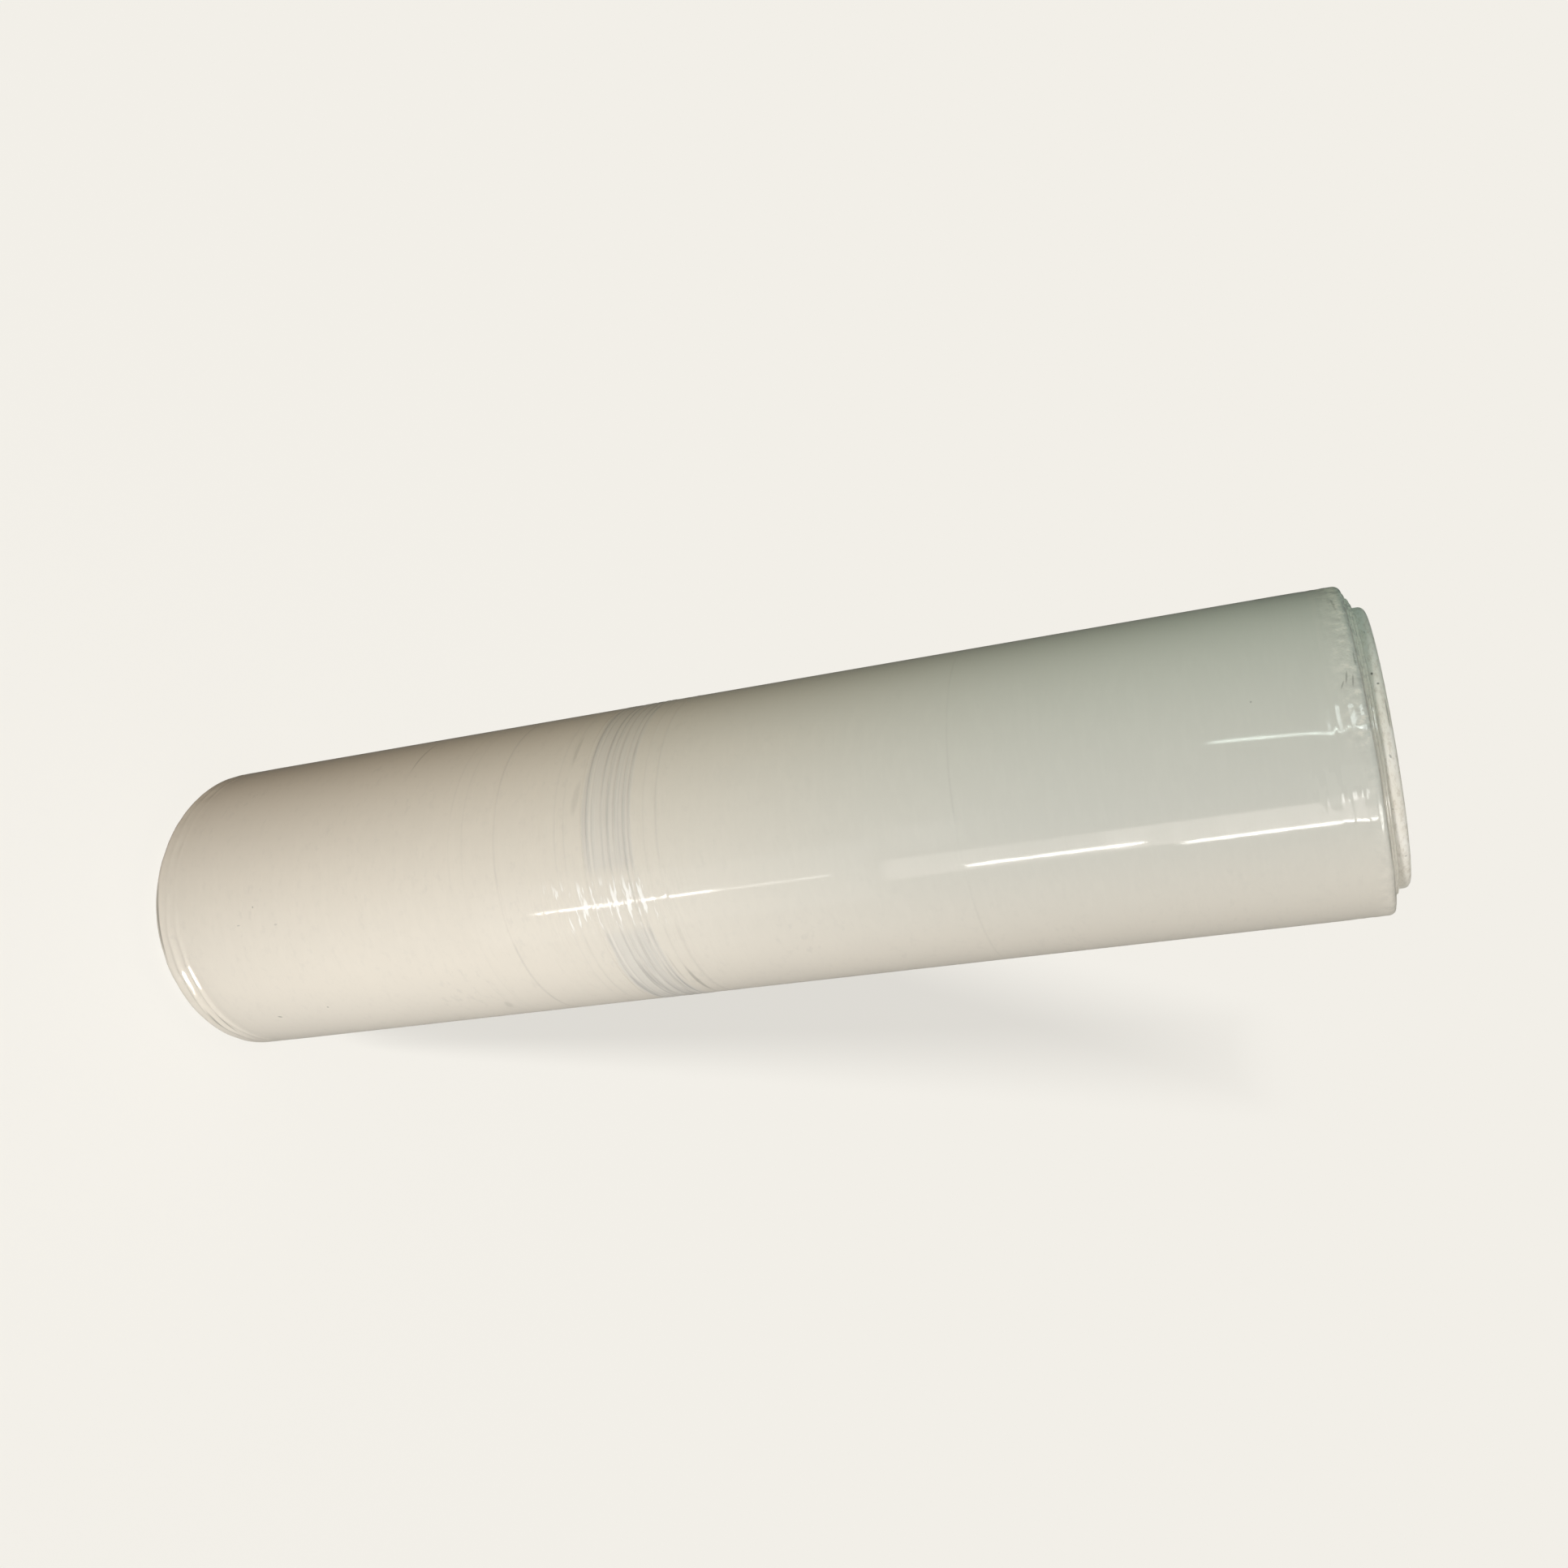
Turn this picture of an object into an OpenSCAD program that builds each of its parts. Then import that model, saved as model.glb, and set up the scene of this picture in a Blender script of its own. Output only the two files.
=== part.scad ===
// A roll of cling film: thin clear film wound tight on a pale paperboard core.
// It stands on one end, with Z along the core and the core's lower edge on z = 0.
// The turns have crept sideways under their tension, so each end face steps out,
// ring by ring, from a rounded rim at the outermost turns up to the core.

/* [Core] */
// Bore of the core
bore_d = 76; // [40:0.5:152]
// Wall of the core
core_wall = 4.5; // [3.5:0.1:12]
// How far the core stands out past the outermost turns at each end
core_over = 6; // [4:0.1:20]
// Rounding of the core's outer edges, worn soft by handling
core_edge_r = 2; // [0.5:0.1:2]
// Chamfer of the bore's edges
bore_edge = 0.8; // [0.2:0.1:1]

/* [Film] */
// Width of the outermost turns
film_w = 399; // [220:1:600]
// Thickness of all the turns together, from the core out
wound_t = 7.5; // [5:0.1:60]
// Rounding of the rim at the outermost turns
rim_r = 2; // [0.5:0.1:2.5]

/* [Stepped ends] */
// Rings of turns that step out of each end inside the rim
end_rings = 3; // [1:1:5]
// How far the innermost ring stands out past the outermost turns
end_out = 2.4; // [0.6:0.1:3.5]
// Flat ledge between the rim and the first ring
rim_ledge = 0.4; // [0:0.1:1]
// Rounding of each ring's crest
ring_r = 0.6; // [0.2:0.1:0.8]

/* [Gauge band] */
// Start of the band of raised ridges, above the film's lower edge
band_z = 162; // [20:1:180]
// Width of the band
band_w = 18.5; // [6:0.5:30]
// Ridges in the band, where the film runs thick and its turns pile up
band_ridges = 9; // [2:1:12]
// Height of each ridge above the roll
ridge_h = 0.12; // [0.05:0.01:0.3]
// Roundness of each ridge
ridge_r = 0.6; // [0.4:0.1:1.2]

/* [Quality] */
// Sides of every round
round_sides = 180; // [48:4:360]

/* [Hidden] */
$fn = round_sides;
bore_r = bore_d / 2;
core_r = bore_r + core_wall;
roll_r = core_r + wound_t;
core_len = film_w + 2 * core_over;
mid_z = core_len / 2;
ring_pitch = (wound_t - rim_r - rim_ledge) / end_rings;
ring_round = min(ring_r, ring_pitch);
band_pitch = band_w / (band_ridges - 1);

// Section of a stack of turns, from the core out to r_out and to half_w on both
// sides of the middle, with its two outer corners rounded
module turns(r_out, half_w, round_r) {
    difference() {
        translate([core_r, -half_w]) square([r_out - core_r, 2 * half_w]);
        for (side = [-1, 1])
            translate([r_out, side * half_w])
                corner(round_r, side);
    }
}

// What a rounded corner takes away, with its tip at the origin
module corner(round_r, side) {
    difference() {
        translate([-round_r, side > 0 ? -round_r : 0])
            square([round_r, round_r]);
        translate([-round_r, -side * round_r]) circle(r = round_r);
    }
}

// Half section of the wound film: the outermost turns, then one ring inside the
// other, each narrower across and standing out further
module film_section() {
    turns(roll_r, film_w / 2, rim_r);
    for (i = [1 : end_rings])
        turns(roll_r - rim_r - rim_ledge - (i - 1) * ring_pitch,
              film_w / 2 + i * end_out / end_rings, ring_round);
}

// Low ridges that run round the roll, side by side
module gauge_band() {
    for (i = [0 : band_ridges - 1])
        translate([roll_r + ridge_h - ridge_r, band_z + i * band_pitch - film_w / 2])
            circle(r = ridge_r);
}

module film_roll() {
    color([0.86, 0.83, 0.76])
        translate([0, 0, mid_z])
            rotate_extrude() {
                film_section();
                gauge_band();
            }
}

module core_tube() {
    color([0.88, 0.86, 0.78])
        difference() {
            translate([0, 0, mid_z])
                rotate_extrude()
                    difference() {
                        translate([bore_r, -core_len / 2]) square([core_wall, core_len]);
                        for (side = [-1, 1])
                            translate([core_r, side * core_len / 2])
                                corner(core_edge_r, side);
                    }
            for (z = [0, core_len])
                translate([0, 0, z])
                    mirror([0, 0, z > 0 ? 1 : 0])
                        cylinder(r1 = bore_r + bore_edge, r2 = bore_r, h = bore_edge);
        }
}

core_tube();
film_roll();
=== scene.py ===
import math
from types import SimpleNamespace

import bmesh
import bpy
from mathutils import Euler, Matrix, Quaternion, Vector, noise


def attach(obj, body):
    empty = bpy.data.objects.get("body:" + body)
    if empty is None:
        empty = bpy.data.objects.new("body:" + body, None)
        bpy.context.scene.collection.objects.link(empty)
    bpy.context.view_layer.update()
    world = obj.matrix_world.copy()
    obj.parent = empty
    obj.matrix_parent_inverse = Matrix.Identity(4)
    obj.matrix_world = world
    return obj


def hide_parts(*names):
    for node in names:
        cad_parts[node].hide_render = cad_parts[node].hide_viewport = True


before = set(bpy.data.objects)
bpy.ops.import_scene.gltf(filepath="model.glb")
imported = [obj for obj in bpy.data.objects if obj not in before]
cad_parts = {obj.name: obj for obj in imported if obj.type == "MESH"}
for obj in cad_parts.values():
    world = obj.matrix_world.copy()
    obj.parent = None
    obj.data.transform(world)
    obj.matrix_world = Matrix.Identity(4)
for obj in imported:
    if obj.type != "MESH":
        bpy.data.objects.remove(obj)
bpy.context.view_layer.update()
mm = 0.001


class Wire:  # a socket in a shader, so that shader maths reads as sums
    def __init__(self, tree, socket=None):
        self.tree, self.socket = tree, socket

    def node(self, kind, settings={}, sockets={}, out=0):
        made = self.tree.nodes.new("ShaderNode" + kind)
        for name, value in settings.items():
            setattr(made, name, value)
        for name, value in sockets.items():
            if isinstance(value, Wire):
                self.tree.links.new(value.socket, made.inputs[name])
            else:
                made.inputs[name].default_value = value
        return Wire(self.tree, made.outputs[out] if made.outputs else None)

    def math(self, operation, *values):
        return self.node("Math", {"operation": operation}, dict(enumerate(values)))

    def __add__(self, other):
        return self.math("ADD", self, other)

    def __radd__(self, other):
        return self.math("ADD", other, self)

    def __sub__(self, other):
        return self.math("SUBTRACT", self, other)

    def __rsub__(self, other):
        return self.math("SUBTRACT", other, self)

    def __mul__(self, other):
        return self.math("MULTIPLY", self, other)

    def __rmul__(self, other):
        return self.math("MULTIPLY", other, self)

    def __truediv__(self, other):
        return self.math("DIVIDE", self, other)

    def __pow__(self, other):
        return self.math("POWER", self, other)

    def mix(self, first, second):  # two colours, by this socket
        return self.node("Mix", {"data_type": "RGBA"}, {0: self, 6: first, 7: second}, out=2)

    def rise(self, low, high):  # 0 below low, 1 above high, smooth between
        return self.node("MapRange", {"interpolation_type": "SMOOTHSTEP"},
                         {0: self, 1: low, 2: high, 3: 0.0, 4: 1.0})

    def inside(self, low, high, soft):  # 1 between low and high
        return self.rise(low - soft, low + soft) * (1 - self.rise(high - soft, high + soft))

    def stretch(self, x, y, z):  # a vector scaled along its axes
        return self.node("VectorMath", {"operation": "MULTIPLY"}, {0: self, 1: (x, y, z)})

    def noise(self, scale=1.0, detail=2.0, rough=0.5, out=0):
        return self.node("TexNoise", {}, {"Vector": self, "Scale": scale, "Detail": detail,
                                          "Roughness": rough}, out)


def startMaterial(name):
    material = bpy.data.materials.new(name)
    material.use_nodes = True
    tree = material.node_tree
    tree.nodes.clear()
    place = Wire(tree).node("TexCoord", out=3)
    parts = [place.node("SeparateXYZ", {}, {0: place}, out=axis) for axis in range(3)]
    return material, place, parts


def finishMaterial(material, shader):
    shader.node("OutputMaterial", {}, {"Surface": shader})
    return material


def bump(height, distance, strength=1.0, under=None):
    sockets = {"Height": height, "Distance": distance, "Strength": strength}
    if under:
        sockets["Normal"] = under
    return height.node("Bump", {}, sockets)


def principled(colour, sockets):
    return colour.node("BsdfPrincipled", {}, {"Base Color": colour, **sockets})


def finishPiece(mesh, name, material, node, sharpAngle=38):
    bmesh.ops.recalc_face_normals(mesh, faces=mesh.faces)
    data = bpy.data.meshes.new(name)
    mesh.to_mesh(data)
    mesh.free()
    data.shade_smooth()
    data.set_sharp_from_angle(angle=math.radians(sharpAngle))
    data.materials.append(material)
    piece = bpy.data.objects.new(name, data)
    bpy.context.scene.collection.objects.link(piece)
    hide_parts(node)
    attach(piece, "root")
    return piece


def spinProfile(corners, roundings, stepAt, steps):
    # corners: (radius, height) in mm, round the closed half section
    # roundings: a radius in mm, and the places in corners that it rounds
    mesh = bmesh.new()
    verts = [mesh.verts.new((r * mm, 0, z * mm)) for r, z in corners]
    for start, stop in zip(verts, verts[1:] + verts[:1]):
        mesh.edges.new((start, stop))
    for radius, places in roundings:
        spots = [Vector((corners[i][0] * mm, 0, corners[i][1] * mm)) for i in places]
        bends = [v for v in mesh.verts if any((v.co - spot).length < 1e-6 for spot in spots)]
        bmesh.ops.bevel(mesh, geom=bends, offset=radius * mm, offset_type="OFFSET",
                        affect="VERTICES", segments=6, profile=0.5, material=-1)
    for edge in mesh.edges[:]:
        middle = (edge.verts[0].co + edge.verts[1].co) / 2
        cuts = int(edge.calc_length() / mm / stepAt(middle.x / mm, middle.z / mm))
        if cuts:
            bmesh.ops.subdivide_edges(mesh, edges=[edge], cuts=cuts)
    bmesh.ops.spin(mesh, geom=mesh.verts[:] + mesh.edges[:], cent=(0, 0, 0), axis=(0, 0, 1),
                   angle=2 * math.pi, steps=steps, use_merge=True)
    return mesh


film = dict(
    rollRadius=50.0,
    coreRadius=42.5,
    low=6.0,             # lower edge of the outermost turns
    high=405.0,
    middle=205.5,
    rimRounding=2.0,
    ledge=0.4,
    rings=3,
    ringsOut=2.4,
    ringRounding=0.48,
    aroundSteps=240,
    bandLow=169.8,       # the band of hard lines round the roll
    bandHigh=186.2,
    bandMargin=(4, 10),  # how far below and above it the outside is cut finely
    rimZone=14,          # depth of the loose zone at each rim
    # lines round the roll: height, half width, darkness, height of the ridge in tenths
    lines=((121.6, 0.6, 0.10, 0.2), (126.2, 0.6, 0.12, 0.2), (138.0, 0.65, 0.38, 0.5),
           (159.6, 0.6, 0.12, 0.2), (162.8, 0.6, 0.18, 0.3), (168.9, 0.5, 0.0, 0.7),
           (170.7, 0.6, 0.55, 0.9), (172.7, 0.5, 0.25, 0.5), (175.9, 0.6, 0.42, 0.7),
           (177.9, 0.5, 0.32, 0.9), (180.5, 0.6, 0.42, 1.0), (183.4, 0.55, 0.40, 0.9),
           (185.4, 0.6, 0.50, 1.0), (190.4, 0.6, 0.14, 0.4), (194.7, 0.8, 0.24, 0.5),
           (288.2, 0.6, 0.16, 0.3)),
    wallCuts=(19.0, 118.0, 166.0, 197.0, 280.0, 296.0, 392.0),   # where the steps' length changes
    boreStep=40,                             # longest steps of the mesh along the half section
    endStep=0.9,
    fineStep=0.35,
    wideStep=6,
    rimFolds=(5.2, 8.6),                     # folds beside each rim, mm in from it
    foldWidth=1.3,
    wallDent=0.03,                           # depth of the wall's soft dents
    rimSlack=0.06,                           # depth of the rims' dents all round
    slackTurn=38.0,                          # degrees round, where the lower rim is slack
    slackArc=46.0,
    slackDepth=0.62,                         # how much deeper its dents go there
    rimLean=1.0,                             # how far the outermost turns lean out on one side
    leanFrom=47.7,                           # radius of the innermost turn that leans
    leanDepth=8.0,
    colour=(0.79, 0.725, 0.625),             # the film's two shades, in soft patches
    coolColour=(0.77, 0.71, 0.615),
    greenShadeColour=(0.655, 0.640, 0.572),         # painted shade: the darker, greener grey that a greenish fill light gives the film towards its upper end, on its far side
    bandColour=(0.735, 0.69, 0.615),
    # dark lines, flecks and smudges, and painted shade on the upper rim's crinkles
    lineColour=(0.42, 0.395, 0.37),
    # pale stripes in the band, and painted highlight on the upper rim's crinkles
    paleColour=(0.86, 0.81, 0.72),
    # painted light: the paler colour of the end faces and the turns inside the rim
    endLitColour=(0.93, 0.86, 0.75),
    # the colour of the painted highlight ticks
    tickHighlightColour=(1.0, 0.97, 0.91),
    # dirt and specks, and painted shade in the upper rim's creases
    markColour=(0.10, 0.09, 0.07),
    # zones of the finish and of the painted light and shade: from and to, in mm of height or in
    # degrees round the roll
    # where the painted greenish shade lies
    greenShadeHeights=(130, 330),
    greenShadeArc=(-120, 34),
    reflectionArc=(4.5, 28),                   # where the lamps' reflection lies across the band; the band's tint and lines are painted paler there, a painted reflection
    tickHeights=(150, 200),                  # gloss ticks, painted highlight ticks and fine teeth across the band
    toothHeights=(150, 204),
    tickHighlightHeights=(154, 194),
    tickHighlightArc=(8.5, 25),
    flakeHeights=(388, 408),                 # where the gloss flakes at the upper rim
    flakeArc=(4, 18),
    crinkleHeights=(395, 403),               # where the upper rim is crinkled
    # dirt, specks, thin dark lines and smudges, and along the upper rim painted shade in its
    # creases: height, angle, half length round, half width, lean, darkness
    marks=((46.1, -0.2, 0.5, 0.3, 0, 0.5), (36.5, 50.2, 0.35, 1.1, 20, 0.8),
           (57.6, 47.5, 0.5, 0.5, 0, 0.5), (375.1, -20.0, 0.4, 0.4, 0, 0.4),
           (39.5, 6.0, 0.3, 0.8, 0, 0.3), (54.0, 7.5, 0.4, 0.9, 0, 0.2),
           (166.7, -23.0, 7.5, 1.6, 8, 0.11), (99.4, -60.0, 13.0, 0.6, 0, 0.22),
           (163.5, -45.0, 9.0, 0.9, 0, 0.14), (190.4, 60.0, 13.0, 0.9, 0, 0.30),
           # the five marks at the upper rim, heights 399.6 to 404, are painted shade in its
           # creases
           (120.0, 62.0, 4.0, 1.6, 10, 0.14), (402.5, -22.0, 2.5, 0.35, 8, 0.42),
           (401.0, -23.5, 2.5, 0.35, 10, 0.42), (399.6, -21.0, 1.6, 0.3, 24, 0.42),
           (404.0, -30.0, 3.5, 0.4, 0, 0.35), (401.5, -57.0, 5.0, 0.5, -6, 0.35),
           (176.5, 52.0, 12.0, 0.55, 0, 0.14), (184.0, 56.0, 13.0, 0.6, 0, 0.16),
           (187.0, 50.0, 11.0, 0.5, 0, 0.14), (10.6, 53.0, 13.0, 0.5, 3, 0.50),
           (13.0, 50.0, 10.0, 0.45, 5, 0.40), (7.5, 0.0, 17.0, 0.6, 0, 0.55)),
)


def filmCorners():
    low, high, outer = film["low"], film["high"], film["rollRadius"]
    firstRing = outer - film["rimRounding"] - film["ledge"]
    pitch = (firstRing - film["coreRadius"]) / film["rings"]
    step = film["ringsOut"] / film["rings"]
    upper = [(outer, high)]
    for ring in range(film["rings"]):
        out = firstRing - ring * pitch
        upper += [(out, high + ring * step), (out, high + (ring + 1) * step)]
    upper.append((film["coreRadius"], high + film["ringsOut"]))
    lower = [(r, low + high - z) for r, z in reversed(upper)]
    wall = [(outer, z) for z in film["wallCuts"]]
    return lower, wall, upper


def edgeDistance(height):  # how far in from the nearer rim
    return min(height - film["low"], film["high"] - height)


def nearBand(height):
    below, above = film["bandMargin"]
    return film["bandLow"] - below < height < film["bandHigh"] + above


def filmStep(radius, height):  # how closely the half section is cut, in mm
    if radius < film["coreRadius"] + 0.01:
        return film["boreStep"]
    if radius < film["rollRadius"] - 0.01:
        return film["endStep"]
    if edgeDistance(height) < film["rimZone"] or nearBand(height):
        return film["fineStep"]
    return film["wideStep"]


def makeFilm():
    lower, wall, upper = filmCorners()
    top = len(lower) + len(wall)
    crests = list(range(1, len(lower) - 1, 2))
    crests += [top + i for i in range(2, len(upper) - 1, 2)]
    mesh = spinProfile(lower + wall + upper, [(film["rimRounding"], (len(lower) - 1, top)),
                                              (film["ringRounding"], crests)],
                       filmStep, film["aroundSteps"])
    for vert in mesh.verts:
        vert.co += filmWear(vert.co)
    print("film points", len(mesh.verts))
    return finishPiece(mesh, "film_roll_wound", filmMaterial(), "film_roll")


def hump(away, half):  # 1 in the middle, 0 from half outwards, smooth between
    near = max(0.0, 1 - abs(away) / half)
    return near * near * (3 - 2 * near)


def filmWear(place):
    # ridges, folds and dents in mm, none of them past the CAD size
    radius = math.hypot(place.x, place.y)
    if radius < film["coreRadius"] * mm + 1e-5:
        return Vector()
    out = Vector((place.x, place.y, 0)) / radius
    height = place.z / mm
    edge = edgeDistance(height)
    lower = height < film["middle"]
    around = Vector((place.x, place.y, 0)) / mm
    dent = film["wallDent"] * (noise.noise(around * 0.05 + Vector((0, 0, height * 0.01))) - 1)
    if nearBand(height):
        for centre, half, _, ridge in film["lines"]:
            dent += 0.1 * ridge * hump(height - centre, half)
    turned = math.degrees(math.atan2(place.y, place.x))
    if edge < film["rimZone"]:
        near = min(1.0, (film["rimZone"] - edge) / 5)
        wave = noise.noise(around * 0.16 + Vector((0, 0, height * 0.12)))
        fine = noise.noise(around * 0.6 + Vector((3, 1, height * 0.5)))
        slack = film["rimSlack"]
        if lower:
            slack += film["slackDepth"] * hump(turned - film["slackTurn"], film["slackArc"])
            slack += 0.3 * max(0.0, wave - 0.1)
        dent -= near * (0.05 + slack + 0.06 * abs(wave) + 0.04 * abs(fine))
        sway = 0.9 * noise.noise(around * 0.10 + Vector((5, 9, 0 if lower else 4)))
        for fold in film["rimFolds"]:
            dent += slack * near * hump(edge - fold - sway, film["foldWidth"])
    lift = 0.0
    if edge < 2.5:
        lift = -0.22 * (1 + noise.noise(around * 0.09 + Vector((7, 0, radius * 600))))
    if edge < film["leanDepth"] and radius > film["leanFrom"] * mm:
        oneSide = (1 + math.sin(math.radians(turned))) / 2
        lift += film["rimLean"] * hump(edge, film["leanDepth"]) * oneSide
    return (out * dent + Vector((0, 0, -lift if lower else lift))) * mm


def filmPlaces(place, x, y, z):
    # what the colour, the bumps and the gloss all follow
    height = z / mm
    radius = (x * x + y * y) ** 0.5 / mm
    turn = y.math("ARCTAN2", y, x)
    along = turn * film["rollRadius"]                          # mm round the roll
    angle = along / film["rollRadius"] * (180 / math.pi)
    facing = place.node("NewGeometry", out=1)
    upward = facing.node("SeparateXYZ", {}, {0: facing}, out=2)
    end = upward.math("ABSOLUTE", upward).rise(0.6, 0.95)
    wander = place.stretch(14, 14, 3).noise(1.0, 1.0)          # the lines waver a little
    wavy = height + (wander - 0.5) * 0.7
    broken = place.stretch(42, 42, 320).noise(1.0, 3.0).rise(0.3, 0.7)
    patch = place.stretch(16, 16, 9).noise(1.0, 4.0, 0.6)
    ragged = wavy + (broken - 0.5) * 0.8
    band = ragged.inside(film["bandLow"], film["bandHigh"], 0.7) * (0.75 + broken * 0.35)
    reflectionZone = angle.inside(*film["reflectionArc"], 3)
    ticked = height.inside(*film["tickHeights"], 3) * reflectionZone
    ticks = place.stretch(110, 110, 720).noise(1.0, 2.0, 0.6) + band * 0.05
    crinkles = place.stretch(420, 420, 330).noise(1.0, 3.0, 0.6)
    upperRim = height.rise(*film["crinkleHeights"]) * (1 - angle.rise(-8, 4))
    upperRim = upperRim + height.rise(399, 404) * 0.4
    return SimpleNamespace(height=height, radius=radius, along=along, angle=angle, end=end,
                           wavy=wavy, broken=broken, patch=patch, band=band, reflectionZone=reflectionZone,
                           ticked=ticked, ticks=ticks, crinkles=crinkles, upperRim=upperRim)


def filmColour(place, at):
    faded = place.stretch(24, 24, 900).noise(1.0, 2.0, 0.5).rise(0.32, 0.62)
    stripes = place.stretch(7, 7, 1300).noise(1.0, 2.0, 0.6)
    flecks = place.stretch(260, 260, 420).noise(1.0, 3.0, 0.6)
    cloud = place.stretch(45, 45, 60).noise(1.0, 3.0, 0.6).rise(0.5, 0.75)
    smudge = place.stretch(30, 30, 420).noise(1.0, 2.0, 0.6).rise(0.52, 0.68)
    # painted reflection: the band's tint fades where the lamps' reflection lies across it
    band = at.band * (1 - at.reflectionZone * 0.8)
    rings = 1 - at.radius.rise(47.0, 48.0)                     # the turns inside the rim, painted paler below as painted light

    colour = at.patch.rise(0.35, 0.7).mix((*film["colour"], 1), (*film["coolColour"], 1))
    colour = paint(flecks.rise(0.52, 0.70) * (0.05 + cloud * 0.10), colour, "lineColour")
    # painted shade: darker and greener towards the upper end on the far side, where the greenish
    # fill light falls
    greenShade = at.height.rise(*film["greenShadeHeights"]) * at.angle.inside(*film["greenShadeArc"], 30)
    colour = paint(greenShade, colour, "greenShadeColour")
    colour = paint(band, colour, "bandColour")
    colour = paint(band * stripes.rise(0.5, 0.68) * 0.2, colour, "lineColour")
    colour = paint(band * (1 - stripes.rise(0.32, 0.46)) * 0.4, colour, "paleColour")
    colour = paint(smudge * band * at.angle.rise(30, 45) * 0.3, colour, "lineColour")
    dark = lineSum(at.wavy, 2) * (0.05 + at.broken * 0.5 + faded * 0.55)
    # painted reflection: the lines fade there too
    dark = dark * (1 - at.reflectionZone * 0.85)
    colour = paint(dark.math("MINIMUM", dark * 0.8, 0.85), colour, "lineColour")
    # painted highlight: pale ticks where the lamps' reflection catches the band's ridges
    tickHighlights = at.ticks.rise(0.60, 0.68) * at.height.inside(*film["tickHighlightHeights"], 2)
    tickHighlights = tickHighlights * at.angle.inside(*film["tickHighlightArc"], 3.5)
    colour = paint(tickHighlights * 0.85, colour, "tickHighlightColour")
    # painted light: the end faces and the turns inside the rim are painted paler, in place of the
    # light that the rim's shadow keeps off them
    colour = paint(at.end.math("MAXIMUM", at.end * 0.8, rings), colour, "endLitColour")
    for spot in film["marks"]:
        # dirt and smudges, and painted shade in the upper rim's creases
        colour = paint(mark(at.height, at.along, film["rollRadius"], *spot), colour, "markColour")
    # painted shade and painted highlight: the crinkles at the upper rim are painted in dark and
    # pale streaks, in place of the light and shade on them
    colour = paint(at.crinkles.rise(0.5, 0.66) * at.upperRim * 0.17, colour, "lineColour")
    crinkleHighlight = (1 - at.crinkles.rise(0.36, 0.46)) * at.upperRim
    return paint(crinkleHighlight * 0.4, colour, "paleColour")


def paint(share, under, colour):
    return share.mix(under, (*film[colour], 1))


def filmBumps(place, at):
    turns = place.math("SINE", at.radius * 40.0 + at.patch * 6.0)
    streaks = place.stretch(9, 9, 420).noise(1.0, 4.0, 0.62)
    ripples = place.stretch(60, 60, 130).noise(1.0, 1.0, 0.5)
    fine = place.stretch(60, 60, 900).noise(1.0, 3.0, 0.6)
    wiggle = place.stretch(420, 420, 60).noise(1.0, 1.0, 0.5)
    teeth = place.stretch(40, 40, 620).noise(1.0, 1.0, 0.5).rise(0.50, 0.62)
    teeth = teeth * (0.25 + at.height.inside(*film["toothHeights"], 6))
    fromMiddle = at.height.math("ABSOLUTE", at.height - film["middle"])
    atRims = fromMiddle.rise(189, 198)
    normal = bump(streaks, 0.02 * mm)
    normal = bump(fine, 0.006 * mm, under=normal)
    normal = bump(ripples * (1.0 + atRims * 0.5), 0.10 * mm, under=normal)
    normal = bump(wiggle * teeth, 0.08 * mm, under=normal)
    normal = bump(at.crinkles * at.upperRim, 0.32 * mm, under=normal)
    normal = bump(lineSum(at.wavy, 3) * (0.6 + at.broken), 0.13 * mm, under=normal)
    return bump(turns * at.end, 0.05 * mm, under=normal)


def filmGloss(place, at):
    edgeOn = place.node("LayerWeight", {}, {"Blend": 0.5}, out=1)
    dashes = place.stretch(100, 100, 330).noise(1.0, 2.0, 0.6).rise(0.36, 0.56)
    gloss = (1 - edgeOn.rise(0.45, 0.95) * at.angle.rise(-20, 40) * 0.6) * (0.9 - at.end * 0.6)
    gloss = gloss * (1 - (1 - dashes) * 0.3 * (1 - at.ticked) * (1 - edgeOn.rise(0.2, 0.5)))
    gloss = gloss * (1 - (1 - at.ticks.rise(0.44, 0.54)) * at.ticked * 0.6)
    flaked = at.height.inside(*film["flakeHeights"], 3) * at.angle.inside(*film["flakeArc"], 1)
    gloss = gloss * (1 - (1 - dashes.rise(0.85, 1.0)) * flaked * 0.9)
    return gloss * (1 - (1 - at.crinkles.rise(0.48, 0.56)) * at.upperRim * 0.9)


def filmMaterial():
    material, place, (x, y, z) = startMaterial("wound cling film")
    at = filmPlaces(place, x, y, z)
    shader = principled(filmColour(place, at), {
        "Roughness": 0.5 + at.end * 0.15, "Specular IOR Level": 0.0,
        "Coat Weight": filmGloss(place, at), "Coat Roughness": 0.08, "Coat IOR": 1.5,
        "Normal": filmBumps(place, at)})
    return finishMaterial(material, shader)


def lineSum(height, which):  # the lines' darkness (2) or their ridges (3)
    total = None
    for line in film["lines"]:
        if line[which]:
            away = height.math("ABSOLUTE", height - line[0])
            stroke = (1 - away.rise(0.0, line[1])) * line[which]
            total = stroke if total is None else total + stroke
    return total


def mark(height, along, radius, centre, angle, long, wide, lean, dark):
    turn = math.radians(lean)
    across = height - centre
    beside = along - math.radians(angle) * radius
    u = (beside * math.cos(turn) - across * math.sin(turn)) / long
    v = (beside * math.sin(turn) + across * math.cos(turn)) / wide
    return (1 - ((u * u + v * v) ** 0.5).rise(0.35, 1.0)) * dark


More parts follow.
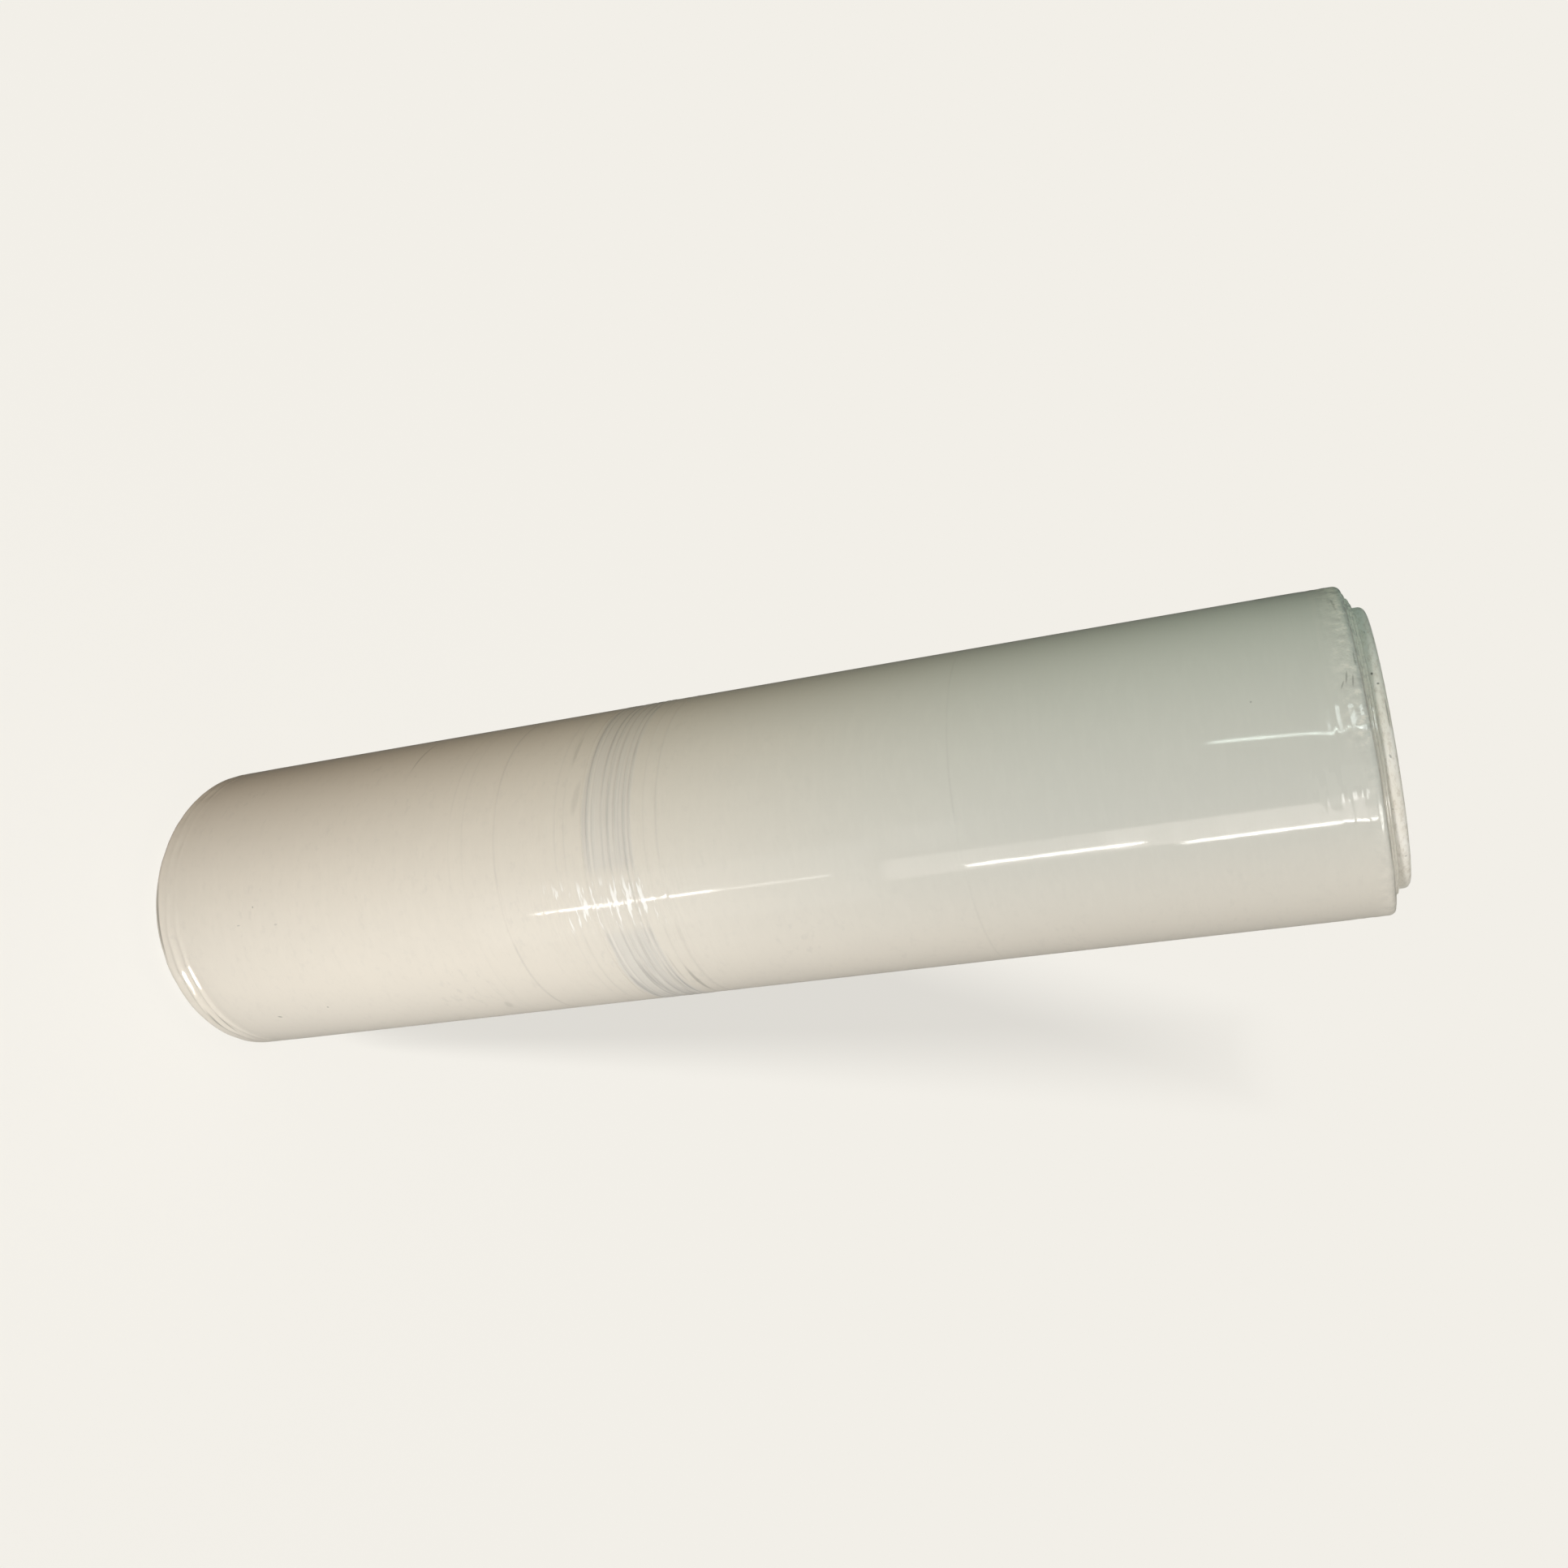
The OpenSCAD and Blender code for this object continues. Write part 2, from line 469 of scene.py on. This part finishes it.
core = dict(
    boreRadius=38.0,
    outerRadius=42.5,
    length=411.0,
    edgeRounding=2.0,
    boreChamfer=0.8,
    plyPitch=95.0,       # climb of the outer ply's seam in one turn
    plyWaves=12.0,
    aroundSteps=192,
    endZone=20,          # depth of the finely cut zone at each end
    zoneStep=1,
    wallStep=12,
    colour=(0.86, 0.80, 0.70),
    paleColour=(0.92, 0.87, 0.79),
    fibreColour=(0.58, 0.50, 0.40),
    markColour=(0.07, 0.06, 0.05),
    # specks in the board, as in film["marks"]
    marks=((408.1, -28.3, 0.5, 0.45, 0, 0.8), (409.2, -23.8, 0.4, 0.5, 0, 0.7),
           (406.9, 0.0, 1.2, 0.3, 30, 0.6), (409.0, 4.0, 0.8, 0.35, -20, 0.45),
           (408.6, -50.0, 1.0, 0.3, 0, 0.3), (410.2, -12.0, 6.0, 0.25, 0, 0.5),
           (407.6, 24.0, 0.4, 0.3, 0, 0.3), (409.6, 47.0, 0.4, 0.4, 0, 0.35)),
)


def makeCore():
    inner, outer, top = core["boreRadius"], core["outerRadius"], core["length"]
    chamfer = core["boreChamfer"]
    zone = core["endZone"]
    corners = [(inner, chamfer), (inner + chamfer, 0), (outer, 0), (outer, zone),
               (outer, top - zone), (outer, top), (inner + chamfer, top), (inner, top - chamfer)]
    mesh = spinProfile(corners, [(core["edgeRounding"], (2, 5))], coreStep, core["aroundSteps"])
    return finishPiece(mesh, "core_tube_board", coreMaterial(), "core_tube")


def coreStep(radius, height):
    inEndZone = not core["endZone"] < height < core["length"] - core["endZone"]
    return core["zoneStep"] if inEndZone else core["wallStep"]


def coreMaterial():
    material, place, (x, y, z) = startMaterial("core paperboard")
    height = z / mm
    radius = (x * x + y * y) ** 0.5 / mm
    turn = y.math("ARCTAN2", y, x)
    along = turn * core["outerRadius"]
    facing = place.node("NewGeometry", out=1)
    upward = facing.node("SeparateXYZ", {}, {0: facing}, out=2)
    end = upward.math("ABSOLUTE", upward).rise(0.6, 0.9)

    spiral = height / core["plyPitch"] - turn / (2 * math.pi)
    seam = spiral.math("FRACT", spiral).inside(0.0, 0.012, 0.004) * (1 - end)
    fibres = place.stretch(380, 380, 900).noise(1.0, 5.0, 0.7)
    patches = place.stretch(70, 70, 130).noise(1.0, 3.0, 0.6)
    grit = place.noise(900, 3.0, 0.7)
    plies = radius.math("SINE", (radius + patches * 0.35) * core["plyWaves"])

    colour = patches.rise(0.35, 0.65).mix((*core["colour"], 1), (*core["paleColour"], 1))
    colour = (fibres.rise(0.46, 0.66) * 0.45).mix(colour, (*core["fibreColour"], 1))
    colour = (grit.rise(0.60, 0.74) * 0.35).mix(colour, (*core["fibreColour"], 1))
    colour = (plies.rise(0.2, 1.0) * end * 0.5).mix(colour, (*core["fibreColour"], 1))
    colour = (seam * 0.6).mix(colour, (*core["fibreColour"], 1))
    for spot in core["marks"]:
        dirt = mark(height, along, core["outerRadius"], *spot)
        colour = dirt.mix(colour, (*core["markColour"], 1))
    normal = bump(fibres, 0.10 * mm)
    normal = bump(grit, 0.05 * mm, under=normal)
    normal = bump(1 - plies * end * 0.3 - seam, 0.06 * mm, under=normal)
    shader = principled(colour, {"Roughness": 0.85, "Specular IOR Level": 0.25,
                                 "Normal": normal})
    return finishMaterial(material, shader)


studio = dict(
    background=(0.8879, 0.8632, 0.8070),     # the pale ground behind the roll
    floorSize=80.0,
    floorBounce=0.10,                        # how pale the floor is to light that bounces off it
    mirrorShare=0.03,                        # how much of the ground the film's gloss shows
    shadowShare=0.19,                        # how much of the floor's look is lit, the rest glows
    roomLight=0.05,                          # plain white light from all round
    sunHeight=2.9,                           # a sun on the floor alone, which throws the shadow
    sunTurn=-12.6,
    sunSpread=4.5,
)


def rayShows(start):  # 1 for a ray straight from the camera, a share for a mirrored one
    fromCamera, mirrored, through = [start.node("LightPath", out=ray) for ray in (0, 3, 6)]
    mirrored = mirrored.math("MAXIMUM", mirrored, through) * studio["mirrorShare"]
    return fromCamera.math("MAXIMUM", fromCamera, mirrored)


def makeFloor():
    mesh = bmesh.new()
    bmesh.ops.create_grid(mesh, x_segments=1, y_segments=1, size=studio["floorSize"] / 2)
    data = bpy.data.meshes.new("floor")
    mesh.to_mesh(data)
    mesh.free()
    material, place, _ = startMaterial("pale floor")
    ground = (*studio["background"], 1)
    dull = tuple(tone * studio["floorBounce"] for tone in studio["background"])
    lit = place.node("BsdfDiffuse", {}, {"Color": ground})
    glow = place.node("Emission", {}, {"Color": ground, "Strength": 1.0})
    pale = place.node("MixShader", {}, {0: 1 - studio["shadowShare"], 1: lit, 2: glow})
    bounced = place.node("BsdfDiffuse", {}, {"Color": (*dull, 1)})
    shader = place.node("MixShader", {}, {0: rayShows(place), 1: bounced, 2: pale})
    data.materials.append(finishMaterial(material, shader))
    floor = bpy.data.objects.new("floor", data)
    bpy.context.scene.collection.objects.link(floor)
    return floor


def makeWorld():
    world = bpy.data.worlds.new("pale studio")
    world.use_nodes = True
    tree = world.node_tree
    tree.nodes.clear()
    start = Wire(tree)
    back = start.node("Background", {}, {"Color": (*studio["background"], 1), "Strength": 1.0})
    room = start.node("Background", {}, {"Color": (1, 1, 1, 1), "Strength": studio["roomLight"]})
    shader = start.node("MixShader", {}, {0: rayShows(start), 1: room, 2: back})
    shader.node("OutputWorld", {}, {"Surface": shader})
    bpy.context.scene.world = world


# each lamp: where it stands, what it points at, its width and height, its light, and whether it
# lights the roll's colour or shows in the film's gloss
lamps = dict(
    keyLow=dict(place=(0.857, 0.242, 0.045), aim=(0, 0, 0.2), size=(0.3, 0.08), power=3.95,
                colour=(1, 1, 1), lights="roll"),
    keyMid=dict(place=(0.800, 0.150, 0.430), aim=(0, 0, 0.4), size=(0.3, 0.10), power=0.55,
                colour=(1, 0.98, 0.95), lights="roll"),
    keyHigh=dict(place=(0.681, 0.161, 0.900), aim=(0, 0, 0.2), size=(0.3, 0.3), power=1.1,
                 colour=(0.80, 0.88, 0.88), lights="roll"),
    sideLow=dict(place=(0.184, 0.249, 0.045), aim=(0, 0, 0.2), size=(0.3, 0.08), power=0.36,
                 colour=(1, 1, 1), lights="roll"),
    sideHigh=dict(place=(0.092, 0.285, 0.653), aim=(0, 0, 0.2), size=(0.3, 0.3), power=0.64,
                  colour=(0.98, 1, 0.98), lights="roll"),
    farWarm=dict(place=(0.201, -0.458, 0.045), aim=(0, 0, 0.2), size=(0.2, 0.08), power=0.45,
                 colour=(1.0, 0.75, 0.50), lights="roll"),
    farGreen=dict(place=(0.129, -0.227, 0.414), aim=(0, 0, 0.2), size=(0.2, 0.2), power=0.15,
                  colour=(0.66, 0.98, 0.88), lights="roll"),
    backFill=dict(place=(-0.85, 0.0, 0.45), aim=(0, 0, 0.2), size=(0.4, 0.6), power=5.0,
                  colour=(1.0, 0.98, 0.94), lights="roll"),
    windowLow=dict(place=(0.195, 0.125, 0.10), aim=(0.045, 0.015, 0.10), size=(0.17, 0.20),
                   power=0.06, colour=(1, 0.97, 0.93), lights="gloss"),
    windowMid=dict(place=(0.205, 0.140, 0.25), aim=(0.047, 0.016, 0.25), size=(0.059, 0.10),
                   power=0.035, colour=(1, 0.92, 0.87), lights="gloss"),
    windowHigh=dict(place=(0.205, 0.140, 0.365), aim=(0.047, 0.016, 0.365), size=(0.059, 0.13),
                    power=0.075, colour=(1, 0.92, 0.87), lights="gloss"),
    streakLow=dict(place=(0.2095, 0.1323, 0.07), aim=(0.0479, 0.0145, 0.07), size=(0.0036, 0.09),
                   power=0.045, colour=(1, 0.98, 0.94), lights="gloss"),
    streakFaint=dict(place=(0.2095, 0.1323, 0.145), aim=(0.0479, 0.0145, 0.145),
                     size=(0.0035, 0.06), power=0.005, colour=(1, 0.98, 0.94), lights="gloss"),
    streakMid=dict(place=(0.1944, 0.1523, 0.2785), aim=(0.047, 0.0171, 0.2785),
                   size=(0.0045, 0.077), power=0.042, colour=(1, 0.98, 0.94), lights="gloss"),
    streakHigh=dict(place=(0.184, 0.1637, 0.380), aim=(0.0464, 0.0187, 0.380),
                    size=(0.0055, 0.09), power=0.058, colour=(1, 0.98, 0.94), lights="gloss"),
    flakes=dict(place=(0.2208, 0.1136, 0.412), aim=(0.0485, 0.0121, 0.412), size=(0.026, 0.02),
                power=0.012, colour=(1, 0.98, 0.94), lights="gloss"),
    streakCool=dict(place=(0.242, -0.061, 0.386), aim=(0.0494, -0.0078, 0.386),
                    size=(0.005, 0.07), power=0.018, lean=-18, colour=(0.86, 1, 0.93),
                    lights="gloss"),
    rimCool=dict(place=(0.235, -0.083, 0.505), aim=(0.0489, -0.0104, 0.505), size=(0.07, 0.18),
                 power=0.3, colour=(0.9, 1, 0.97), lights="gloss"),
    rimWarm=dict(place=(0.180, 0.167, 0.565), aim=(0.0464, 0.0187, 0.404), size=(0.12, 0.17),
                 power=1.0, colour=(1, 0.97, 0.92), lights="gloss"),
    rimLow=dict(place=(0.203, 0.144, 0.032), aim=(0.0453, 0.0211, 0.012), size=(0.17, 0.010),
                power=0.07, colour=(1, 0.99, 0.94), spread=45, lights="gloss"),
)


def makeLamps(roll, floor):
    onRoll = bpy.data.collections.new("lit roll")
    for piece in roll:
        onRoll.objects.link(piece)
    onFloor = bpy.data.collections.new("lit floor")
    onFloor.objects.link(floor)
    for name, lamp in lamps.items():
        data = bpy.data.lights.new(name, "AREA")
        data.color, data.energy = lamp["colour"], lamp["power"]
        data.shape, data.size, data.size_y = "RECTANGLE", *lamp["size"]
        data.spread = math.radians(lamp.get("spread", 180))
        item = placeLamp(name, data, lamp["place"], lamp["aim"], onRoll, lamp.get("lean", 0))
        item.visible_diffuse = lamp["lights"] == "roll"
        item.visible_glossy = lamp["lights"] == "gloss"
    data = bpy.data.lights.new("floor sun", "SUN")
    height, turn = math.radians(studio["sunHeight"]), math.radians(studio["sunTurn"])
    data.energy = (1 - studio["roomLight"]) * math.pi / math.sin(height)   # keeps the floor's tone
    data.angle = math.radians(studio["sunSpread"])
    place = Euler((0, -height, turn)).to_matrix() @ Vector((3, 0, 0))
    placeLamp("floor sun", data, place, (0, 0, 0), onFloor)


def placeLamp(name, data, place, aim, receivers, lean=0):
    item = bpy.data.objects.new(name, data)
    item.location = place
    facing = (Vector(place) - Vector(aim)).to_track_quat("Z", "Y")
    item.rotation_euler = (facing @ Quaternion((0, 0, 1), math.radians(lean))).to_euler()
    item.visible_camera = False
    item.light_linking.receiver_collection = receivers
    bpy.context.scene.collection.objects.link(item)
    return item


# the photo's viewpoint, found from the roll's outline
viewpoint = dict(place=(0.42269, 0.0, 0.38362), turn=(32.273, -73.058, 151.043),
                 lens=30.695, shift=(-0.09935, -0.0490))


def makeCamera():
    data = bpy.data.cameras.new("camera")
    data.sensor_width = 36
    data.lens = viewpoint["lens"]
    data.shift_x, data.shift_y = viewpoint["shift"]
    data.clip_start, data.clip_end = 0.01, 200
    camera = bpy.data.objects.new("camera", data)
    camera.location = viewpoint["place"]
    camera.rotation_euler = Euler([math.radians(a) for a in viewpoint["turn"]], "XYZ")
    bpy.context.scene.collection.objects.link(camera)
    bpy.context.scene.camera = camera


bpy.context.scene.view_settings.view_transform = "Standard"
print("film")
filmPiece = makeFilm()
print("core")
corePiece = makeCore()
print("studio")
floorPiece = makeFloor()
makeWorld()
makeLamps([filmPiece, corePiece], floorPiece)
makeCamera()
